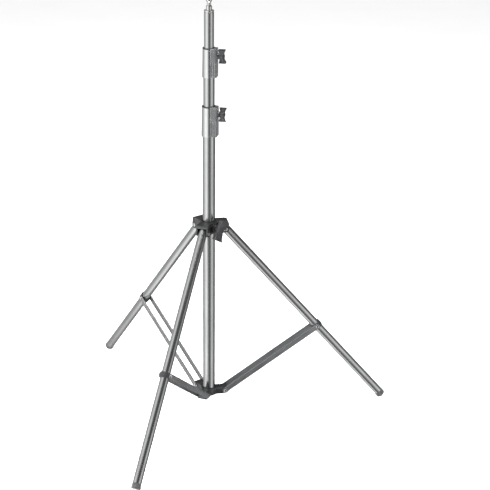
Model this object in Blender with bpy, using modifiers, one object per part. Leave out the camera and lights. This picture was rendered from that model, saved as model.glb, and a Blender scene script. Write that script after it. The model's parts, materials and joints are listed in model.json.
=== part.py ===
"""Three-section folding lighting stand with clamp collars, metres, +Z up.

The origin is on the floor, on the column's axis. Legs point along 0, 120 and 240 degrees.
A collar slides on the lower tube and carries the legs; a second collar, fixed at the tube's
foot, carries the braces. Each moving piece hangs from an empty that sits on its joint axis.
"""

import math

import bmesh
import bpy
from mathutils import Vector

# ---- driving dimensions -------------------------------------------------------------------

MM = 0.001
FIT = 0.3 * MM                      # gap kept between neighbouring solids
LEG_AZIMUTHS = (0.0, 120.0, 240.0)

# legs and braces
LEG_ANGLE = math.radians(40.5)      # leg from the vertical, stand open
LEG_PIN_RADIUS = 45 * MM            # leg hinge pin, from the column's axis
LEG_PIN_HEIGHT = 562 * MM
LEG_REACH = 731 * MM                # hinge pin to the foot's end
LEG_RADIUS = 12.5 * MM
LEG_WALL = 1.5 * MM
LEG_HEAD = 9 * MM                   # tube above the hinge pin
BRACE_ON_LEG = 416 * MM             # hinge pin to brace pin, along the leg
BRACE_PIN_RADIUS = 46 * MM
BRACE_PIN_HEIGHT = 59 * MM
BAR_WIDTH = 15 * MM
BAR_THICKNESS = 2.4 * MM
BAR_INSIDE = 14.4 * MM              # inner face of a brace bar, from the leg's middle plane
RIB_WIDTH = 2.1 * MM
RIB_INSET = 0.4 * MM
RIB_HEIGHT = 1.1 * MM
FOOT_LENGTH = 16 * MM

# telescoping column
LOWER_RADIUS = 17.5 * MM
MIDDLE_RADIUS = 15.5 * MM
UPPER_RADIUS = 13.5 * MM
TUBE_WALL = 1.5 * MM
LOWER_BOTTOM = 54 * MM
LOWER_CLAMP_TOP = 913 * MM
LOWER_CLAMP_HEIGHT = 82 * MM
UPPER_CLAMP_TOP = 1074 * MM
UPPER_CLAMP_HEIGHT = 78 * MM
UPPER_TOP = 1173 * MM
BUSH_DEPTH = 28 * MM                # how far a clamp stands above the tube that it sits on
STUD_RADIUS = 8 * MM
STUD_HEIGHT = 38 * MM

# clamps: the screw points along local +X, the split faces local -Y
CLAMP_TURN = math.radians(-20)
CLAMP_WALL = 1.5 * MM
CLAMP_TAPER = 1.4 * MM              # the sleeve is this much wider at its bottom
SPLIT_AT = 5.9 * MM
SPLIT_WIDTH = 1.8 * MM
SPLIT_RIB = 4 * MM
HOUSING_REACH = 8.2 * MM            # housing beyond the sleeve's bore, along the screw
HOUSING_BACK = 8 * MM
SCREW_SIDE = 4 * MM                 # screw axis in front of the column's axis
SCREW_DROP = 19 * MM                # screw axis below the clamp's top
PAD_RADIUS = 4 * MM
PAD_LENGTH = 1.9 * MM
CLAMP_BOSS = 4 * MM                 # round boss on the housing, behind the knob
CLAMP_BOSS_RADIUS = 8.5 * MM
CLAMP_KNOB = {"span": 39 * MM, "width": 13 * MM, "depth": 19.5 * MM, "hub": 7.5 * MM,
              "root": 5.3 * MM, "flare": 1.6 * MM}

# leg collar, with its own knob half way between two legs
COLLAR_LINING = 2.2 * MM
COLLAR_RADIUS = 25.5 * MM
COLLAR_BELOW = 10 * MM              # ring below and above the hinge pins
COLLAR_ABOVE = 23 * MM
CHEEK_INSIDE = 13 * MM
CHEEK_THICKNESS = 5 * MM
CHEEK_END = 10 * MM                 # cheek beyond the hinge pin
CHEEK_BELOW = 9 * MM
CHEEK_SHOULDER = 7 * MM             # rounding of a cheek's upper outer corner
ROOF_UNDER = 18.6 * MM              # roof over a leg's head, above the hinge pins
KNOB_AZIMUTH = math.radians(300)
COLLAR_BOSS_END = 37 * MM
COLLAR_BOSS_RADIUS = 12 * MM
COLLAR_KNOB_HEIGHT = LEG_PIN_HEIGHT + 6 * MM
COLLAR_KNOB_TURN = math.radians(-30)
COLLAR_KNOB = {"span": 58 * MM, "width": 31 * MM, "depth": 26 * MM, "hub": 11 * MM,
               "root": 12 * MM, "flare": 8.3 * MM}

# brace collar at the column's foot
BRACE_RING_RADIUS = 23.5 * MM
BRACE_RING_BELOW = 12 * MM          # ring below and above the brace pins
BRACE_RING_ABOVE = 8 * MM
LUG_HALF_WIDTH = 13.7 * MM
LUG_ROUND = 11 * MM
SPLIT_GAP = 2 * MM
RING_SCREW = 2.1 * MM
RING_SCREW_AT = (31 * MM, 7 * MM)

# fasteners
LEG_PIN = 3.0 * MM
BRACE_PIN = 2.5 * MM
BOLT = 3.0 * MM
SCREW_GRIP = 10 * MM                # how far a knob's screw reaches into its hub
HEAD_HEIGHT = 1.8 * MM
LEG_PIN_HEAD = 5.5 * MM
BRACE_PIN_HEAD = 4.6 * MM

BRACKET_RADIUS = 15.4 * MM          # band round a leg between its brace bars
BRACKET_HALF = 8 * MM
PLUG_DEPTH = 14 * MM                # how far a leg's head plug and foot reach into it

THROUGH = 50 * MM                   # half length of a cutter that passes right through
SEGMENTS = 32                       # sides of a column tube, a collar, a leg and a fastener
COLLAR_SEGMENTS = 36
LEG_SEGMENTS = 24
FINE = 12

PALETTE = {
    "satin_tube": ((0.34, 0.35, 0.36), 0.32, 1.0),
    "clamp_metal": ((0.62, 0.63, 0.64), 0.28, 1.0),
    "black_plastic": ((0.025, 0.026, 0.028), 0.45, 0.0),
    "brace_steel": ((0.11, 0.115, 0.12), 0.40, 1.0),
    "bright_steel": ((0.80, 0.80, 0.79), 0.20, 1.0),
    "rubber": ((0.02, 0.02, 0.02), 0.80, 0.0),
    "grey_plastic": ((0.45, 0.45, 0.44), 0.5, 0.0),
}


# ---- scene --------------------------------------------------------------------------------

for old in list(bpy.data.objects):
    bpy.data.objects.remove(old)

PARTS = bpy.data.collections.new("lighting_stand")
CUTTERS = bpy.data.collections.new("cutters")
bpy.context.scene.collection.children.link(PARTS)
bpy.context.scene.collection.children.link(CUTTERS)


def material(name, kind):
    """A Principled material for one part, from the palette."""
    colour, roughness, metallic = PALETTE[kind]
    made = bpy.data.materials.new(name)
    made.use_nodes = True
    shader = made.node_tree.nodes["Principled BSDF"]
    shader.inputs["Base Color"].default_value = (*colour, 1)
    shader.inputs["Roughness"].default_value = roughness
    shader.inputs["Metallic"].default_value = metallic
    made.diffuse_color = (*colour, 1)
    return made


def frame_at(name, location, turn=0.0, tilt=0.0):
    """An empty on a joint's axis: turned about Z, then tilted about its own Y."""
    empty = bpy.data.objects.new(name, None)
    empty.location = location
    empty.rotation_euler = (0, tilt, turn)
    PARTS.objects.link(empty)
    return empty


def as_part(body, name, kind, parent=None):
    """Name a solid, give it its material and hang it from its frame."""
    body.name = name
    body.data.name = name
    body.data.materials.clear()
    body.data.materials.append(material(name, kind))
    body.parent = parent
    CUTTERS.objects.unlink(body)
    PARTS.objects.link(body)
    body.hide_render = False
    body.display_type = "TEXTURED"
    return body


def tool(data):
    """Every solid starts as a tool in the cutters collection."""
    body = bpy.data.objects.new("tool", data)
    body.hide_render = True
    body.display_type = "WIRE"
    CUTTERS.objects.link(body)
    return body


# ---- solids -------------------------------------------------------------------------------

def box(low, high, rounding=0.0):
    """A box between two corners, with its edges rounded if asked."""
    mesh = bpy.data.meshes.new("box")
    work = bmesh.new()
    bmesh.ops.create_cube(work, size=1.0)
    low = Vector(low)
    high = Vector(high)
    bmesh.ops.scale(work, vec=high - low, verts=work.verts)
    bmesh.ops.translate(work, vec=(low + high) / 2, verts=work.verts)
    work.to_mesh(mesh)
    work.free()
    body = tool(mesh)
    if rounding:
        add_bevel(body, rounding)
    return body


def add_bevel(body, width):
    """Round the edges sharper than 30 degrees."""
    bevel = body.modifiers.new("rounding", "BEVEL")
    bevel.width = width
    bevel.segments = 2
    bevel.limit_method = "ANGLE"


def turned(profile, steps=SEGMENTS):
    """A body turned about Z; the (radius, height) profile runs down its outer side."""
    mesh = bpy.data.meshes.new("turned")
    points = [(radius, 0, height) for radius, height in profile]
    edges = [(i, i + 1) for i in range(len(points) - 1)]
    if profile[0][0] > 0:
        edges.append((len(points) - 1, 0))
    mesh.from_pydata(points, edges, [])
    body = tool(mesh)
    screw = body.modifiers.new("turn", "SCREW")
    screw.steps = steps
    screw.render_steps = steps
    screw.use_merge_vertices = True
    screw.merge_threshold = 0.00001
    screw.use_smooth_shade = True
    return body


def rod(radius, low, high, steps=FINE):
    """A plain round bar along Z."""
    return turned([(0, high), (radius, high), (radius, low), (0, low)], steps)


def tube(outer, inner, low, high, steps=SEGMENTS):
    """A pipe along Z."""
    return turned([(outer, high), (outer, low), (inner, low), (inner, high)], steps)


def headed_pin(radius, head, half_length):
    """A pin along Z with a low domed head at each end."""
    top = half_length + HEAD_HEIGHT
    upper = [(0, top), (head * 0.6, top), (head, half_length + HEAD_HEIGHT * 0.4),
             (head, half_length), (radius, half_length)]
    lower = [(r, -z) for r, z in reversed(upper)]
    return turned(upper + lower, FINE)


def plate(outline, thickness):
    """A flat plate in the XZ plane, its middle on Y = 0, from a closed (x, z) outline."""
    curve = bpy.data.curves.new("outline", "CURVE")
    curve.dimensions = "2D"
    curve.fill_mode = "BOTH"
    curve.extrude = thickness / 2
    spline = curve.splines.new("POLY")
    spline.points.add(len(outline) - 1)
    for point, (x, z) in zip(spline.points, outline):
        point.co = (x, z, 0, 1)
    spline.use_cyclic_u = True
    drawn = tool(curve)
    bpy.context.view_layer.update()
    seen = drawn.evaluated_get(bpy.context.evaluated_depsgraph_get())
    mesh = bpy.data.meshes.new_from_object(seen)
    bpy.data.objects.remove(drawn)
    work = bmesh.new()
    work.from_mesh(mesh)
    bmesh.ops.remove_doubles(work, verts=work.verts, dist=0.000001)
    for vertex in work.verts:
        x, z, y = vertex.co
        vertex.co = (x, -y, z)
    bmesh.ops.recalc_face_normals(work, faces=work.faces)
    work.to_mesh(mesh)
    work.free()
    return tool(mesh)


def arc(centre, radius, start, end, steps):
    """Points on an arc in degrees."""
    spots = []
    for i in range(steps + 1):
        angle = math.radians(start + (end - start) * i / steps)
        spots.append((centre[0] + radius * math.cos(angle), centre[1] + radius * math.sin(angle)))
    return spots


def place(body, location=(0, 0, 0), rotation=(0, 0, 0)):
    """Move a tool to its place in the frame that it shares with its target."""
    body.location = location
    body.rotation_euler = rotation
    return body


def combine(target, other, operation):
    """Cut or join a tool, which then stays in the cutters collection."""
    other.parent = target.parent
    change = target.modifiers.new(operation.lower(), "BOOLEAN")
    change.operation = operation
    change.solver = "EXACT"
    change.object = other
    return target


def cut(target, other):
    return combine(target, other, "DIFFERENCE")


def join(target, other):
    return combine(target, other, "UNION")


def along_y(body, location=(0, 0, 0)):
    """Lay a Z-axis tool along Y."""
    return place(body, location, (math.radians(90), 0, 0))


def along_x(body, location=(0, 0, 0)):
    """Lay a Z-axis tool along X."""
    return place(body, location, (0, math.radians(90), 0))


def around(azimuth, radius, height=0.0):
    """A spot beside the column, by its azimuth in degrees."""
    turn = math.radians(azimuth)
    return (radius * math.cos(turn), radius * math.sin(turn), height)


def across(azimuth):
    """The rotation that lays a Z-axis tool across a leg's own plane."""
    return (math.radians(90), 0, math.radians(azimuth))


# ---- column -------------------------------------------------------------------------------

def column_tubes():
    """The three tubes, each with the moulded end that runs in the next one."""
    lower_top = LOWER_CLAMP_TOP - BUSH_DEPTH
    lower_inner = LOWER_RADIUS - TUBE_WALL
    as_part(tube(LOWER_RADIUS, lower_inner, LOWER_BOTTOM, lower_top), "lower_tube", "satin_tube")
    plug_top = LOWER_BOTTOM + 12 * MM
    rim = 4 * MM
    as_part(turned([(0, plug_top), (lower_inner - FIT, plug_top),
                    (lower_inner - FIT, LOWER_BOTTOM - FIT), (LOWER_RADIUS, LOWER_BOTTOM - FIT),
                    (LOWER_RADIUS, LOWER_BOTTOM - rim), (LOWER_RADIUS - rim, LOWER_BOTTOM - rim - 2 * MM),
                    (0, LOWER_BOTTOM - rim - 2 * MM)]), "column_end_plug", "black_plastic")

    middle = frame_at("middle_section_frame", (0, 0, 0))
    middle_bottom = plug_top + 8 * MM
    middle_top = UPPER_CLAMP_TOP - BUSH_DEPTH
    middle_inner = MIDDLE_RADIUS - TUBE_WALL
    as_part(tube(MIDDLE_RADIUS, middle_inner, middle_bottom, middle_top),
            "middle_tube", "satin_tube", middle)
    as_part(end_bush(lower_inner, middle_inner, middle_bottom), "middle_end_bush",
            "black_plastic", middle)

    top = frame_at("top_section_frame", (0, 0, 0))
    upper_bottom = middle_bottom + 22 * MM
    upper_inner = UPPER_RADIUS - TUBE_WALL
    as_part(tube(UPPER_RADIUS, upper_inner, upper_bottom, UPPER_TOP), "upper_tube", "satin_tube", top)
    as_part(end_bush(middle_inner, upper_inner, upper_bottom), "upper_end_bush",
            "black_plastic", top)
    return middle, top


def end_bush(outer_bore, own_bore, height):
    """A collar that slides in the outer tube, with a spigot up inside its own tube."""
    flange = outer_bore - FIT
    spigot = own_bore - FIT
    bore = spigot - 3 * MM
    flange_bottom = height - 6 * MM
    return turned([(spigot, height + 14 * MM), (spigot, height - FIT), (flange, height - FIT),
                   (flange, flange_bottom), (bore, flange_bottom), (bore, height + 14 * MM)])


def top_fitting(top):
    """The flanged plug in the upper tube and the 16 mm stud on it."""
    flange_top = UPPER_TOP + 5 * MM
    spigot = UPPER_RADIUS - TUBE_WALL - FIT
    as_part(turned([(0, flange_top), (UPPER_RADIUS - 1 * MM, flange_top),
                    (UPPER_RADIUS, flange_top - 1 * MM), (UPPER_RADIUS, UPPER_TOP + FIT),
                    (spigot, UPPER_TOP + FIT), (spigot, UPPER_TOP - 22 * MM), (0, UPPER_TOP - 22 * MM)]),
            "top_flange", "bright_steel", top)
    foot = flange_top + FIT
    head = foot + STUD_HEIGHT
    waist = STUD_RADIUS - 2.2 * MM
    as_part(turned([(0, head), (STUD_RADIUS - 1.2 * MM, head), (STUD_RADIUS, head - 1.2 * MM),
                    (STUD_RADIUS, foot + 24 * MM), (waist, foot + 21 * MM), (waist, foot + 13 * MM),
                    (STUD_RADIUS, foot + 10 * MM), (STUD_RADIUS, foot), (0, foot)]),
            "stud", "bright_steel", top)


# ---- clamps -------------------------------------------------------------------------------

def clamp(prefix, held_radius, inner_radius, top, height, parent, knob_turn):
    """A split sleeve on one tube, with a housing whose winged screw presses a pad on the next."""
    frame = frame_at(prefix + "_frame", (0, 0, top), CLAMP_TURN)
    frame.parent = parent
    bore = held_radius + FIT
    outer = bore + CLAMP_WALL
    bottom_radius = outer + CLAMP_TAPER
    housing_end = bore + HOUSING_REACH
    lip = 3 * MM

    sleeve = turned([(outer, 0), (bottom_radius, -height), (bore, -height), (bore, 0)],
                    COLLAR_SEGMENTS)
    sleeve = as_part(sleeve, prefix + "_sleeve", "clamp_metal", frame)
    split_left = SPLIT_AT - SPLIT_WIDTH / 2
    join(sleeve, box((split_left - SPLIT_RIB, -bottom_radius - 1.2 * MM, -height + 0.5 * MM),
                     (split_left + 0.5 * MM, -outer + 4 * MM, -0.5 * MM), 1 * MM))
    cut(sleeve, rod(bore, -height - THROUGH, THROUGH, COLLAR_SEGMENTS))
    cut(sleeve, box((split_left, -THROUGH, -height - 1 * MM), (split_left + SPLIT_WIDTH, 0, 1 * MM)))
    cut(sleeve, screw_hole(PAD_RADIUS + FIT))

    bush = turned([(outer, lip), (outer, FIT), (bore - FIT, FIT), (bore - FIT, FIT - BUSH_DEPTH),
                   (inner_radius + FIT, FIT - BUSH_DEPTH), (inner_radius + FIT, lip)], COLLAR_SEGMENTS)
    bush = as_part(bush, prefix + "_bush", "black_plastic", frame)
    cut(bush, screw_hole(PAD_RADIUS + FIT))

    housing = box((split_left + SPLIT_WIDTH, -outer - 0.4 * MM, 2 * MM - height),
                  (housing_end, HOUSING_BACK, lip), 2 * MM)
    housing = as_part(housing, prefix + "_housing", "black_plastic", frame)
    at_screw = (0, -SCREW_SIDE, -SCREW_DROP)
    boss_end = housing_end + CLAMP_BOSS
    join(housing, along_x(rod(CLAMP_BOSS_RADIUS, housing_end - 3 * MM, boss_end, LEG_SEGMENTS), at_screw))
    clear = FIT + 0.05 * MM
    cut(housing, turned([(0, lip + 1 * MM), (outer + clear, lip + 1 * MM), (outer + clear, 0),
                         (bottom_radius + clear, -height), (bottom_radius + clear, -height - 1 * MM),
                         (0, -height - 1 * MM)], COLLAR_SEGMENTS))
    cut(housing, screw_hole(BOLT + FIT))

    pad_start = inner_radius + FIT
    pad_end = pad_start + PAD_LENGTH
    as_part(along_x(rod(PAD_RADIUS, pad_start, pad_end), at_screw), prefix + "_pad",
            "grey_plastic", frame)

    axis = frame_at(prefix + "_knob_frame", (boss_end, -SCREW_SIDE, -SCREW_DROP))
    axis.parent = frame
    axis.rotation_euler = (knob_turn, 0, 0)
    winged_knob(prefix + "_knob", axis, **CLAMP_KNOB)
    as_part(along_x(rod(BOLT, pad_end + FIT - boss_end, SCREW_GRIP)), prefix + "_screw",
            "bright_steel", axis)


def screw_hole(radius):
    """A cutter along the clamp's screw, from the column's axis outward."""
    return along_x(rod(radius, 5 * MM, THROUGH), (0, -SCREW_SIDE, -SCREW_DROP))


def winged_knob(name, frame, span, width, depth, hub, root, flare):
    """A hub on local +X with two wings that flare away from it along local Z."""
    start = 2 * FIT
    floor = SCREW_GRIP + FIT
    body = turned([(0, depth * 0.8), (hub * 0.75, depth * 0.8), (hub, depth * 0.7),
                   (hub, start), (BOLT + FIT, start), (BOLT + FIT, floor), (0, floor)], LEG_SEGMENTS)
    as_part(along_x(body), name, "black_plastic", frame)
    for side in (1, -1):
        join(body, wing(span / 2 * side, width, depth, hub, root, flare))
    return body


def wing(reach, width, depth, hub, root_half, flare):
    """One wing: narrower at the hub than at its tip, which starts a flare's length further out."""
    mesh = bpy.data.meshes.new("wing")
    work = bmesh.new()
    bmesh.ops.create_cube(work, size=1.0)
    root = math.copysign(hub * 0.6, reach)
    for vertex in work.verts:
        outward = vertex.co.z > 0
        far = vertex.co.x > 0
        half = width / 2 if outward else root_half
        if outward:
            x = depth if far else flare
        else:
            x = depth * 0.72 if far else min(3 * MM, flare)
        vertex.co = (x, math.copysign(half, vertex.co.y), reach if outward else root)
    bmesh.ops.recalc_face_normals(work, faces=work.faces)
    work.to_mesh(mesh)
    work.free()
    body = tool(mesh)
    add_bevel(body, 3.2 * MM)
    return body


# ---- leg collar ---------------------------------------------------------------------------

def leg_collar():
    """The sliding collar with its lining, three clevises, hinge pins and knob."""
    frame = frame_at("leg_collar_frame", (0, 0, LEG_PIN_HEIGHT))
    lining_inner = LOWER_RADIUS + FIT
    lining_outer = lining_inner + COLLAR_LINING
    bore = lining_outer + FIT
    body = turned([(COLLAR_RADIUS - 2 * MM, COLLAR_ABOVE), (COLLAR_RADIUS, COLLAR_ABOVE - 2 * MM),
                   (COLLAR_RADIUS, -COLLAR_BELOW), (bore, -COLLAR_BELOW), (bore, COLLAR_ABOVE)],
                  COLLAR_SEGMENTS)
    as_part(body, "leg_collar", "black_plastic", frame)
    for azimuth in LEG_AZIMUTHS:
        for side in (1, -1):
            join(body, cheek(azimuth, side))
        join(body, clevis_roof(azimuth))
    boss = rod(COLLAR_BOSS_RADIUS, bore + 1 * MM, COLLAR_BOSS_END, LEG_SEGMENTS)
    knob_height = COLLAR_KNOB_HEIGHT - LEG_PIN_HEIGHT
    join(body, place(boss, (0, 0, knob_height), (0, math.radians(90), KNOB_AZIMUTH)))
    cut(body, rod(bore, -THROUGH, THROUGH, COLLAR_SEGMENTS))
    for azimuth in LEG_AZIMUTHS:
        hole = rod(LEG_PIN + FIT, -THROUGH, THROUGH)
        cut(body, place(hole, around(azimuth, LEG_PIN_RADIUS), across(azimuth)))
    hole = rod(BOLT + FIT, 0, THROUGH)
    cut(body, place(hole, (0, 0, knob_height), (0, math.radians(90), KNOB_AZIMUTH)))

    lining = tube(lining_outer, lining_inner, 1 * MM - COLLAR_BELOW, COLLAR_ABOVE - 1 * MM,
                  COLLAR_SEGMENTS)
    as_part(lining, "collar_lining", "black_plastic", frame)

    for number, azimuth in enumerate(LEG_AZIMUTHS, 1):
        pin = headed_pin(LEG_PIN, LEG_PIN_HEAD, CHEEK_INSIDE + CHEEK_THICKNESS + FIT)
        place(pin, around(azimuth, LEG_PIN_RADIUS), across(azimuth))
        as_part(pin, f"leg_pin_{number}", "bright_steel", frame)

    seat = around(math.degrees(KNOB_AZIMUTH), COLLAR_BOSS_END, knob_height)
    axis = frame_at("collar_knob_frame", seat, KNOB_AZIMUTH)
    axis.parent = frame
    axis.rotation_euler.x = COLLAR_KNOB_TURN
    winged_knob("collar_knob", axis, **COLLAR_KNOB)
    bolt = rod(BOLT, lining_outer + 1 * MM - COLLAR_BOSS_END, SCREW_GRIP)
    as_part(along_x(bolt), "collar_bolt", "bright_steel", axis)


def cheek(azimuth, side):
    """One side plate of a clevis, level on top and rounded at its outer end."""
    reach = LEG_PIN_RADIUS
    start = COLLAR_RADIUS - 5 * MM
    outline = [(start, -CHEEK_BELOW)]
    outline += arc((reach, 0), CHEEK_END, -70, 20, 6)
    outline += arc((reach + 1 * MM, COLLAR_ABOVE - CHEEK_SHOULDER), CHEEK_SHOULDER, 0, 90, 4)
    outline += [(start, COLLAR_ABOVE)]
    body = plate(outline, CHEEK_THICKNESS)
    middle = side * (CHEEK_INSIDE + CHEEK_THICKNESS / 2)
    return place(body, around(azimuth + 90, middle), (0, 0, math.radians(azimuth)))


def clevis_roof(azimuth):
    """A web that joins the two cheeks above a leg's head."""
    half = CHEEK_INSIDE + 1 * MM
    body = box((COLLAR_RADIUS - 4 * MM, -half, ROOF_UNDER),
               (LEG_PIN_RADIUS + 3 * MM, half, COLLAR_ABOVE - 0.3 * MM))
    return place(body, (0, 0, 0), (0, 0, math.radians(azimuth)))


# ---- brace collar -------------------------------------------------------------------------

def brace_collar():
    """The fixed collar at the column's foot, split at the front, with a lug for each brace."""
    frame = frame_at("brace_collar_frame", (0, 0, BRACE_PIN_HEIGHT))
    bore = LOWER_RADIUS + FIT
    body = tube(BRACE_RING_RADIUS, bore, -BRACE_RING_BELOW, BRACE_RING_ABOVE, COLLAR_SEGMENTS)
    as_part(body, "brace_collar", "black_plastic", frame)
    for azimuth in LEG_AZIMUTHS:
        join(body, place(lug(), (0, 0, 0), (0, 0, math.radians(azimuth))))
    cut(body, rod(bore, -THROUGH, THROUGH, COLLAR_SEGMENTS))
    split = box((0, -SPLIT_GAP / 2, -THROUGH), (THROUGH, SPLIT_GAP / 2, THROUGH))
    cut(body, place(split, (0, 0, 0), (0, 0, KNOB_AZIMUTH)))
    for azimuth in LEG_AZIMUTHS:
        hole = rod(BRACE_PIN + FIT, -THROUGH, THROUGH)
        cut(body, place(hole, around(azimuth, BRACE_PIN_RADIUS), across(azimuth)))
    cut(body, place(rod(RING_SCREW + FIT, -THROUGH, THROUGH), (*RING_SCREW_AT, 0)))
    seat = BRACE_RING_ABOVE + FIT
    screw = turned([(0, seat + 3.4 * MM), (2.6 * MM, seat + 3.4 * MM), (3.6 * MM, seat + 2.2 * MM),
                    (3.6 * MM, seat), (RING_SCREW, seat), (RING_SCREW, -BRACE_RING_BELOW),
                    (0, -BRACE_RING_BELOW)], FINE)
    as_part(place(screw, (*RING_SCREW_AT, 0)), "brace_collar_screw", "bright_steel", frame)
    for number, azimuth in enumerate(LEG_AZIMUTHS, 1):
        half = BAR_INSIDE + BAR_THICKNESS + RIB_HEIGHT + FIT
        pin = headed_pin(BRACE_PIN, BRACE_PIN_HEAD, half)
        place(pin, around(azimuth, BRACE_PIN_RADIUS), across(azimuth))
        as_part(pin, f"brace_pin_{number}", "bright_steel", frame)


def lug():
    """A block with a rounded outer end that carries one pair of brace bars."""
    start = BRACE_RING_RADIUS - 8 * MM
    shoulder = BRACE_PIN_RADIUS - 12 * MM
    outline = [(start, -BRACE_RING_BELOW), (shoulder, -BRACE_RING_BELOW)]
    outline += arc((BRACE_PIN_RADIUS, 0), LUG_ROUND, -80, 60, 8)
    outline += [(shoulder, BRACE_RING_ABOVE), (start, BRACE_RING_ABOVE)]
    return plate(outline, 2 * LUG_HALF_WIDTH)


# ---- legs and braces ----------------------------------------------------------------------

def leg(number, azimuth):
    """A tube on its hinge pin, with a head plug, a brace bracket and a rubber foot."""
    spot = around(azimuth, LEG_PIN_RADIUS, LEG_PIN_HEIGHT)
    frame = frame_at(f"leg_{number}_frame", spot, math.radians(azimuth), -LEG_ANGLE)
    inner = LEG_RADIUS - LEG_WALL
    end = FOOT_LENGTH - LEG_REACH
    body = tube(LEG_RADIUS, inner, end, LEG_HEAD, LEG_SEGMENTS)
    body = as_part(body, f"leg_{number}_tube", "satin_tube", frame)
    cut(body, along_y(rod(LEG_PIN + FIT, -THROUGH, THROUGH)))

    rim = LEG_HEAD + FIT
    plug = turned([(0, rim + 3 * MM), (LEG_RADIUS - 2 * MM, rim + 3 * MM), (LEG_RADIUS, rim + 1.6 * MM),
                   (LEG_RADIUS, rim), (inner - FIT, rim), (inner - FIT, -PLUG_DEPTH), (0, -PLUG_DEPTH)],
                  LEG_SEGMENTS)
    plug = as_part(plug, f"leg_{number}_head_plug", "grey_plastic", frame)
    cut(plug, along_y(rod(LEG_PIN + FIT, -THROUGH, THROUGH)))

    bracket = tube(BRACKET_RADIUS, LEG_RADIUS + FIT, -BRACE_ON_LEG - BRACKET_HALF,
                   -BRACE_ON_LEG + BRACKET_HALF, LEG_SEGMENTS)
    bracket = as_part(bracket, f"leg_{number}_bracket", "black_plastic", frame)
    flat = BAR_INSIDE - 0.4 * MM
    for side in (1, -1):
        near, far = sorted((side * flat, side * THROUGH))
        cut(bracket, box((-THROUGH, near, -BRACE_ON_LEG - THROUGH),
                         (THROUGH, far, THROUGH - BRACE_ON_LEG)))

    wide = LEG_RADIUS + 0.4 * MM
    tip = -LEG_REACH
    foot = turned([(0, end + PLUG_DEPTH), (inner - FIT, end + PLUG_DEPTH), (inner - FIT, end - FIT),
                   (wide, end - FIT), (wide, tip + 2 * MM), (wide - 0.6 * MM, tip + 0.6 * MM),
                   (wide - 2 * MM, tip), (0, tip)], LEG_SEGMENTS)
    foot = as_part(foot, f"leg_{number}_foot", "rubber", frame)
    floor = box((-THROUGH, -THROUGH, -THROUGH), (THROUGH, THROUGH, 0))
    place(floor, around(azimuth, LEG_PIN_RADIUS + LEG_REACH * math.sin(LEG_ANGLE)))
    level_cut(foot, floor)


def level_cut(target, other):
    """Cut with a tool that stays level with the floor, outside the target's tilted frame."""
    change = target.modifiers.new("floor", "BOOLEAN")
    change.operation = "DIFFERENCE"
    change.solver = "EXACT"
    change.object = other


def brace(number, azimuth):
    """Two ribbed bars that straddle the leg, each with a rivet at its outer end."""
    outer_radius = LEG_PIN_RADIUS + BRACE_ON_LEG * math.sin(LEG_ANGLE)
    outer_height = LEG_PIN_HEIGHT - BRACE_ON_LEG * math.cos(LEG_ANGLE)
    out = outer_radius - BRACE_PIN_RADIUS
    up = outer_height - BRACE_PIN_HEIGHT
    length = math.hypot(out, up)
    spot = around(azimuth, BRACE_PIN_RADIUS, BRACE_PIN_HEIGHT)
    frame = frame_at(f"brace_{number}_frame", spot, math.radians(azimuth), math.atan2(out, up))
    for letter, side in (("a", 1), ("b", -1)):
        middle = side * (BAR_INSIDE + BAR_THICKNESS / 2)
        outline = arc((0, 0), BAR_WIDTH / 2, 180, 360, 8)
        outline += arc((0, length), BAR_WIDTH / 2, 0, 180, 8)
        bar = plate(outline, BAR_THICKNESS)
        bar.location = (0, middle, 0)
        bar = as_part(bar, f"brace_{number}_bar_{letter}", "brace_steel", frame)
        face = side * (BAR_INSIDE + BAR_THICKNESS)
        for edge in (1, -1):
            rib_at = edge * (BAR_WIDTH / 2 - RIB_WIDTH / 2 - RIB_INSET)
            near, far = sorted((face - side * 0.5 * MM, face + side * RIB_HEIGHT))
            join(bar, box((rib_at - RIB_WIDTH / 2, near, 0), (rib_at + RIB_WIDTH / 2, far, length)))
        for height in (0, length):
            cut(bar, along_y(rod(BRACE_PIN + FIT, -THROUGH, THROUGH), (0, 0, height)))
        rivet(f"brace_{number}_rivet_{letter}", side, length, frame)


def rivet(name, side, height, frame):
    """A short rivet, its head outside the bar and its shank flush with the bar's inside."""
    head = BAR_THICKNESS + RIB_HEIGHT + FIT
    seat = BAR_THICKNESS + FIT
    body = turned([(0, head + HEAD_HEIGHT), (BRACE_PIN_HEAD * 0.6, head + HEAD_HEIGHT),
                   (BRACE_PIN_HEAD, head + HEAD_HEIGHT * 0.4), (BRACE_PIN_HEAD, seat),
                   (BRACE_PIN, seat), (BRACE_PIN, 0), (0, 0)], FINE)
    place(body, (0, side * BAR_INSIDE, height), (math.radians(-90 * side), 0, 0))
    as_part(body, name, "bright_steel", frame)


# ---- assembly -----------------------------------------------------------------------------

middle_frame, top_frame = column_tubes()
top_fitting(top_frame)
clamp("lower_clamp", LOWER_RADIUS, MIDDLE_RADIUS, LOWER_CLAMP_TOP, LOWER_CLAMP_HEIGHT,
      None, math.radians(-20))
clamp("upper_clamp", MIDDLE_RADIUS, UPPER_RADIUS, UPPER_CLAMP_TOP, UPPER_CLAMP_HEIGHT,
      middle_frame, math.radians(15))
leg_collar()
brace_collar()
for leg_number, leg_azimuth in enumerate(LEG_AZIMUTHS, 1):
    leg(leg_number, leg_azimuth)
    brace(leg_number, leg_azimuth)
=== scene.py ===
import json
import math

import bmesh
import bpy
from mathutils import Matrix, Vector


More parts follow.
